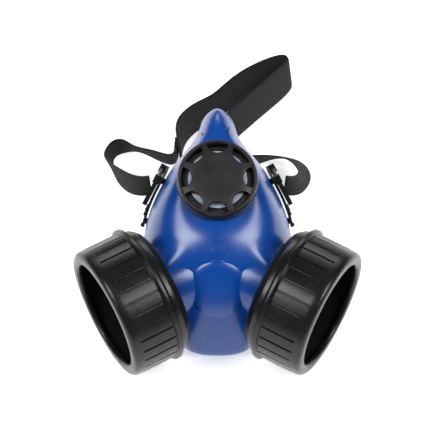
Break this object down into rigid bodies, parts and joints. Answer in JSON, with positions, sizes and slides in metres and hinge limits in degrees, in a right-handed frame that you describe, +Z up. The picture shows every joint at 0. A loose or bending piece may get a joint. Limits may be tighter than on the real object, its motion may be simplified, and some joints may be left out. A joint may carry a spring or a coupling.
{
  "type": "half-mask respirator",
  "caption": "Reusable half-mask respirator: blue facepiece, screw-ring filter cartridges on both cheeks, domed exhalation valve under a star cover, woven head harness.",
  "frame": {"origin": "middle of the object's footprint, on the surface that it lies on", "axes": "+Z up and out of the front of the mask, +Y from the chin to the nose and along the harness, X across the symmetric facepiece"},
  "size_m": [0.1758, 0.266, 0.1069],
  "materials": {
    "blue_rubber": "glossy moulded cobalt blue elastomer",
    "black_plastic": "satin moulded black",
    "black_rubber": "matt",
    "grey_silicone": "translucent pale grey-blue valve flap",
    "carbon_felt": "matt felt",
    "woven_elastic": "ribbed woven elastic webbing"
  },
  "bodies": {
    "mask": {"facepiece": "blue_rubber", "exhalation_seat": "black_plastic", "cartridge_cup_left": "black_plastic", "cartridge_cup_right": "black_plastic", "cup_collar_left": "black_plastic", "cup_collar_right": "black_plastic", "port_clamp_left": "black_plastic", "port_clamp_right": "black_plastic", "cup_gasket_left": "black_rubber", "cup_gasket_right": "black_rubber", "strap_clip_left": "black_plastic", "strap_clip_right": "black_plastic", "side_strap_left": "woven_elastic", "side_strap_right": "woven_elastic", "head_band": "woven_elastic"},
    "valve_cover": {"exhalation_cover": "black_plastic"},
    "valve_flap": {"exhalation_diaphragm": "grey_silicone"},
    "filter_left": {"filter_canister_left": "black_plastic", "prefilter_felt_left": "carbon_felt"},
    "ring_left": {"retaining_ring_left": "black_plastic"},
    "inhalation_flap_left": {"inhalation_disc_left": "grey_silicone"},
    "buckle_left": {"buckle_slide_left": "black_plastic"},
    "filter_right": {"filter_canister_right": "black_plastic", "prefilter_felt_right": "carbon_felt"},
    "ring_right": {"retaining_ring_right": "black_plastic"},
    "inhalation_flap_right": {"inhalation_disc_right": "grey_silicone"},
    "buckle_right": {"buckle_slide_right": "black_plastic"}
  },
  "joints": [
    {"name": "valve_cover_pull", "type": "slide", "parent": "mask", "child": "valve_cover", "axis": [0, -0.3907, 0.9205], "range_m": [0, 0.012]},
    {"name": "valve_flap_lift", "type": "slide", "parent": "mask", "child": "valve_flap", "axis": [0, -0.3907, 0.9205], "range_m": [0, 0.0014], "stiffness_N_per_m": 20, "springref_m": -0.0005},
    {"name": "filter_left_lift", "type": "slide", "parent": "mask", "child": "filter_left", "axis": [-0.8611, -0.5072, -0.0349], "range_m": [0, 0.0066]},
    {"name": "ring_left_unscrew", "type": "hinge", "parent": "filter_left", "child": "ring_left", "pos_m": [-0.06821, -0.09881, 0.04213], "axis": [-0.8611, -0.5072, -0.0349], "range_deg": [0, 720]},
    {"name": "inhalation_flap_left_open", "type": "slide", "parent": "mask", "child": "inhalation_flap_left", "axis": [0.8611, 0.5072, 0.0349], "range_m": [0, 0.0012], "stiffness_N_per_m": 12, "springref_m": -0.0005},
    {"name": "buckle_left_swing", "type": "hinge", "parent": "mask", "child": "buckle_left", "pos_m": [-0.03583, -0.00539, 0.0629], "axis": [0.1406, 0.8605, -0.4897], "range_deg": [0, 25], "deforming": ["side_strap_left"]},
    {"name": "filter_right_lift", "type": "slide", "parent": "mask", "child": "filter_right", "axis": [0.8611, -0.5072, -0.0349], "range_m": [0, 0.0066]},
    {"name": "ring_right_unscrew", "type": "hinge", "parent": "filter_right", "child": "ring_right", "pos_m": [0.06821, -0.09881, 0.04213], "axis": [0.8611, -0.5072, -0.0349], "range_deg": [0, 720]},
    {"name": "inhalation_flap_right_open", "type": "slide", "parent": "mask", "child": "inhalation_flap_right", "axis": [-0.8611, 0.5072, 0.0349], "range_m": [0, 0.0012], "stiffness_N_per_m": 12, "springref_m": -0.0005},
    {"name": "buckle_right_swing", "type": "hinge", "parent": "mask", "child": "buckle_right", "pos_m": [0.03583, -0.00538, 0.06289], "axis": [0.1393, -0.8602, 0.4905], "range_deg": [0, 25], "deforming": ["side_strap_right"]}
  ],
  "couplings": [
    {"joint": "filter_left_lift", "follows": "ring_left_unscrew", "m_per_rad": 0.00047746},
    {"joint": "filter_right_lift", "follows": "ring_right_unscrew", "m_per_rad": 0.00047746}
  ]
}
